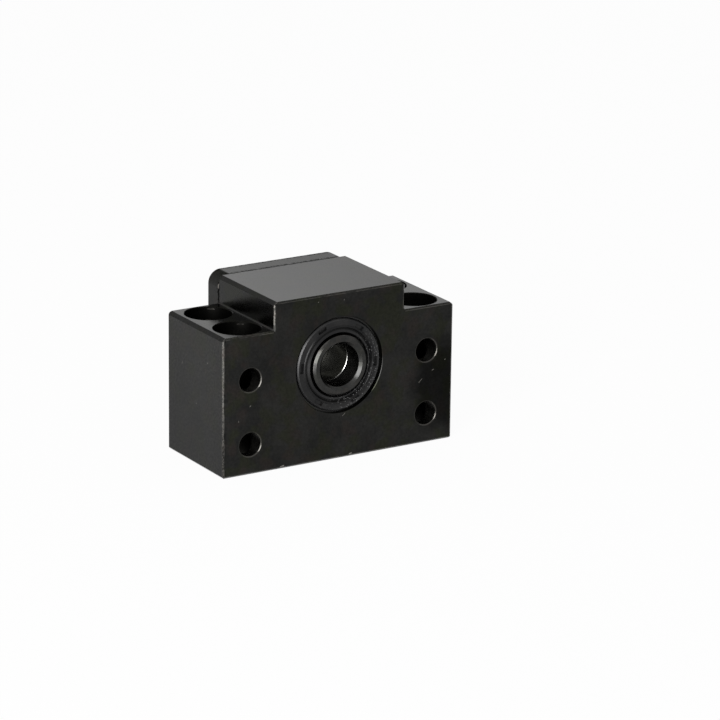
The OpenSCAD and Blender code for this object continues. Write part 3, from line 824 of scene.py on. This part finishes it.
# One socket head cap screw as a grid of steps by turns. Each step has a base radius and a height,
# from the middle of the socket's floor out over the head and down the shank to its tip. The
# radius at a turn is that base radius, less the knurl on the head's side, less a thread on the
# shank whose phase climbs with the turn, or the hexagon's own radius inside the socket.
def screwGrid():
    top, flats = screw["headHeight"], screw["socketFlats"] / 2
    turns = np.linspace(0, 2 * np.pi, screw["turnSteps"], endpoint=False)
    hexagon = flats / np.cos((turns + np.pi / 6) % (np.pi / 3) - np.pi / 6)
    floor = top - screw["socketDepth"]
    bend = np.linspace(0, np.pi / 2, 6)
    brow = screw["brow"]
    knurlLow, knurlHigh = screw["knurlEnds"]
    wave = 0.5 - 0.5 * np.cos(screw["knurls"] * turns)
    knurled = screw["headRadius"] - screw["knurlDepth"] * wave
    rows = []                                # each row is (radius at every turn, height)
    circle = np.ones_like(turns)
    rows.append((0 * circle, floor - screw["drillCone"]))
    rows.append((0.92 * flats * circle, floor))
    rows.append((hexagon, floor))
    wall = screw["socketDepth"] - screw["socketEase"]
    rows += [(hexagon, floor + share * wall) for share in (0.33, 0.66, 1)]
    rim = flats / np.cos(np.pi / 6) + screw["socketEase"]
    rows.append((np.maximum(hexagon + screw["socketEase"], rim * circle), top))
    rows.append(((screw["headRadius"] - brow - 0.2) * circle, top))
    for angle in bend:
        rows.append(((screw["headRadius"] - brow + brow * np.sin(angle)) * circle,
                     top - brow + brow * np.cos(angle)))
    rows += [(knurled, height) for height in np.linspace(knurlHigh, knurlLow, 6)]
    rows.append((screw["headRadius"] * circle, knurlLow - 0.1))
    rows.append(((screw["headRadius"] - 0.2) * circle, 0.0))
    rows.append(((screw["shankRadius"] + 0.12) * circle, 0.0))
    rows.append((screw["shankRadius"] * circle, -0.12))
    threadTop, threadEnd = -0.5, -screw["length"] + screw["tipEase"]
    count = int((threadTop - threadEnd) / screw["pitch"] * screw["perPitch"])
    for height in np.linspace(threadTop, threadEnd, count):
        phase = (height / screw["pitch"] + turns / (2 * np.pi)) % 1.0
        fade = min(1.0, (threadTop - height) / 0.6)
        cut = fade * screw["threadDepth"] * (1 - np.abs(2 * phase - 1))
        rows.append((screw["shankRadius"] - cut, height))
    rows.append(((screw["shankRadius"] - screw["tipEase"]) * circle, -screw["length"]))
    rows.append((0 * circle, -screw["length"]))
    radius = np.array([row[0] for row in rows])
    height = np.repeat(np.array([row[1] for row in rows])[:, None], len(turns), axis=1)
    across, up = radius * np.cos(turns), radius * np.sin(turns)
    # the screw's own axis points to the rear, along the shaft
    return np.stack([across, height, up], axis=-1)


# Faces of a closed band of rows by turns; the first and last rows are single points
def bandFaces(rowCount, turnCount):
    row, turn = np.meshgrid(np.arange(1, rowCount - 2), np.arange(turnCount), indexing="ij")
    nextTurn = (turn + 1) % turnCount
    at = lambda r, t: 1 + (r - 1) * turnCount + t
    quads = np.stack([at(row, turn), at(row, nextTurn), at(row + 1, nextTurn), at(row + 1, turn)], axis=-1)
    around = np.arange(turnCount)
    after = (around + 1) % turnCount
    last = 1 + (rowCount - 2) * turnCount
    first = np.stack([0 * around, at(1, after), at(1, around)], axis=-1)
    final = np.stack([0 * around + last, at(rowCount - 2, around), at(rowCount - 2, after)], axis=-1)
    return quads.reshape(-1, 4), np.concatenate([first, final])


def makeScrews():
    grid = screwGrid()
    rowCount, turnCount = grid.shape[:2]
    points = np.concatenate([grid[0, :1], grid[1:-1].reshape(-1, 3), grid[-1, :1]])
    quads, caps = bandFaces(rowCount, turnCount)
    half = screw["apart"] / 2
    allPoints, allFaces = [], []
    for number, (x, z) in enumerate([(-half, -half), (-half, half), (half, -half), (half, half)]):
        allPoints.append(points + (x, screw["seatY"], axisHeight + z))
        shift = number * len(points)
        allFaces += (quads + shift).tolist() + (caps + shift).tolist()
    mesh = bpy.data.meshes.new("cap screws")
    mesh.from_pydata((np.concatenate(allPoints) * mm).tolist(), [], allFaces)
    mesh.shade_smooth()
    mesh.set_sharp_from_angle(angle=math.radians(38))
    piece = bpy.data.objects.new("cap_screws", mesh)
    bpy.context.scene.collection.objects.link(piece)
    return piece


# Wear on a screw follows the rounded brow of its head
def makeScrewSteel():
    material, tree, shader, place = startMaterial("black oxide screw", 1.0)
    tone = oxide(tree, place, screw)
    x, y, z = splitVector(tree, scaled(tree, place, 1 / mm))
    half = screw["apart"] / 2
    radius = fromAxes(tree, x, z, half, (axisHeight - half, axisHeight + half))
    offBrow = gap(tree, radius, screw["headRadius"] - 0.15)
    offTop = gap(tree, y, screw["seatY"] + screw["headHeight"] - 0.1)
    rubbed = rubbedMask(tree, place, most(tree, offBrow, offTop), screw)
    layBare(tree, shader, tone, product(tree, rubbed, screw["rubShare"]), screw)
    addGrain(tree, shader, place, screw)
    return material


screws = makeScrews()
screwSteel = makeScrewSteel()
screws.data.materials.append(screwSteel)
dress(["lid_screws"], screwSteel)
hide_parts("lid_screws")
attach(screws, "block")
print("lid screws turned:", len(screws.data.polygons), "faces")

studio = {
    "floorSize": 4.0,                      # metres, as are the key light's distance and size
    "floorDrop": 0.02, "floorColour": (0.9, 0.9, 0.9), "whiteShare": 0.96, "worldLight": 0.45,
    "keyAim": (-0.78, -0.58, 0.26), "keyDistance": 0.8, "keySize": (0.28, 0.6), "keyRadiance": 12.3,
    # a painted pool of light on the paper, seen only in reflections
    "poolFrom": (-0.7, -0.714), "poolTip": 60.0, "poolStart": (40, 100), "poolSpread": (0.48, 0.2),
    "poolGain": 4.2,
}


# 1 for rays from the camera and for reflected and refracted ones, which all see the white paper
def seenRays(tree):
    rays = tree.nodes.new("ShaderNodeLightPath").outputs
    seen = most(tree, rays["Is Camera Ray"], rays["Is Glossy Ray"])
    return most(tree, seen, rays["Is Transmission Ray"])


# A painted pool of light: extra glow on the paper that only shiny faces mirror, in a wedge that opens
# from the block towards the softbox: u is the way out along its direction, v the way aside
def paintedPool(tree):
    place = scaled(tree, tree.nodes.new("ShaderNodeTexCoord").outputs["Object"], 1 / mm)
    x, y = splitVector(tree, place)[:2]
    alongX, alongY = studio["poolFrom"]
    u = calc(tree, "ADD", product(tree, x, alongX), product(tree, y, alongY))
    v = gap(tree, product(tree, x, alongY), product(tree, y, alongX))
    wedge = calc(tree, "DIVIDE", v, most(tree, calc(tree, "ADD", u, studio["poolTip"]), 1.0))
    glossy = tree.nodes.new("ShaderNodeLightPath").outputs["Is Glossy Ray"]
    return product(tree, ease(tree, u, *studio["poolStart"]), ease(tree, wedge, *studio["poolSpread"]),
                   glossy, studio["poolGain"])


# White paper that keeps a faint shadow, with a painted pool of light in its reflections; from
# underneath it can be looked through
def makeFloor():
    half, cells = studio["floorSize"] / 2, 8
    line = np.linspace(-half, half, cells + 1)
    across, along = np.meshgrid(line, line, indexing="ij")
    level = np.full_like(across, -studio["floorDrop"] * mm)
    points = np.stack([across, along, level], axis=-1).reshape(-1, 3)
    row, column = np.meshgrid(np.arange(cells), np.arange(cells), indexing="ij")
    corner = row * (cells + 1) + column
    faces = np.stack([corner, corner + cells + 1, corner + cells + 2, corner + 1], axis=-1).reshape(-1, 4)
    mesh = bpy.data.meshes.new("paper")
    mesh.from_pydata(points.tolist(), [], faces.tolist())
    floor = bpy.data.objects.new("paper_floor", mesh)
    bpy.context.scene.collection.objects.link(floor)
    material, tree, surface = emptyMaterial("white paper")
    paper = addNode(tree, "ShaderNodeBsdfDiffuse", {"Color": (*studio["floorColour"], 1)})
    strength = calc(tree, "ADD", paintedPool(tree), 1.0)
    white = addNode(tree, "ShaderNodeEmission", {"Color": (1, 1, 1, 1), "Strength": strength})
    share = product(tree, seenRays(tree), studio["whiteShare"])
    lit = addNode(tree, "ShaderNodeMixShader", {0: share, 1: paper.outputs[0], 2: white.outputs[0]})
    clear = tree.nodes.new("ShaderNodeBsdfTransparent")
    back = tree.nodes.new("ShaderNodeNewGeometry").outputs["Backfacing"]
    whole = addNode(tree, "ShaderNodeMixShader", {0: back, 1: lit.outputs[0], 2: clear.outputs[0]})
    tree.links.new(whole.outputs[0], surface)
    mesh.materials.append(material)


def makeWorld():
    world = bpy.data.worlds.new("studio")
    bpy.context.scene.world = world
    world.use_nodes = True
    tree = world.node_tree
    tree.nodes.clear()
    strength = timesPlus(tree, seenRays(tree), 1 - studio["worldLight"], studio["worldLight"])
    sky = addNode(tree, "ShaderNodeBackground", {"Color": (1, 1, 1, 1), "Strength": strength})
    end = tree.nodes.new("ShaderNodeOutputWorld")
    tree.links.new(sky.outputs[0], end.inputs["Surface"])


# Turns a camera or lamp at a place to look along its own -Z at a target, rolled about that line.
# Returns the turn as a matrix whose columns are its right, up and backward directions.
def lookAt(thing, place, target, roll=0.0):
    away = np.array(place, float) - np.array(target, float)
    away /= np.linalg.norm(away)
    right = np.cross((0, 0, 1), away)
    right /= np.linalg.norm(right)
    up = np.cross(away, right)
    turnedRight = math.cos(roll) * right + math.sin(roll) * up
    turnedUp = -math.sin(roll) * right + math.cos(roll) * up
    matrix = np.eye(4)
    matrix[:3, 0], matrix[:3, 1], matrix[:3, 2], matrix[:3, 3] = turnedRight, turnedUp, away, place
    thing.matrix_world = Matrix(matrix.tolist())
    return matrix[:3, :3]


# A tall softbox at the left front
def makeKeyLight():
    light = bpy.data.lights.new("key", "AREA")
    light.shape = "RECTANGLE"
    light.size, light.size_y = studio["keySize"]
    light.energy = studio["keyRadiance"] * math.pi * light.size * light.size_y   # watts for that radiance
    lamp = bpy.data.objects.new("key", light)
    bpy.context.scene.collection.objects.link(lamp)
    target = np.array((0, 0, axisHeight * mm))
    direction = np.array(studio["keyAim"]) / np.linalg.norm(studio["keyAim"])
    lookAt(lamp, target + direction * studio["keyDistance"], target)


camera = {"azimuth": -31.629, "elevation": 17.39, "roll": 0.7015, "lens": 197.076,
          "distance": 894.583, "right": -12.4079, "up": 0.3877, "pivot": (0, 0, 19.5)}


# The camera stands back from the pivot along the azimuth and elevation; "right" and "up" are where
# the pivot appears beside the line of sight
def makeCamera():
    lens = bpy.data.cameras.new("view")
    lens.lens = camera["lens"]
    lens.sensor_width = 36
    lens.clip_start, lens.clip_end = 0.02, 20
    eye = bpy.data.objects.new("view", lens)
    bpy.context.scene.collection.objects.link(eye)
    azimuth, elevation = math.radians(camera["azimuth"]), math.radians(camera["elevation"])
    back = np.array([math.sin(azimuth) * math.cos(elevation), -math.cos(azimuth) * math.cos(elevation),
                     math.sin(elevation)])
    pivot = np.array(camera["pivot"]) * mm
    turned = lookAt(eye, pivot + back, pivot, math.radians(camera["roll"]))
    eye.location = pivot - turned @ np.array([camera["right"], camera["up"], -camera["distance"]]) * mm
    bpy.context.scene.camera = eye


makeFloor()
makeWorld()
makeKeyLight()
makeCamera()
bpy.context.scene.view_settings.view_transform = "Standard"
print("studio ready")
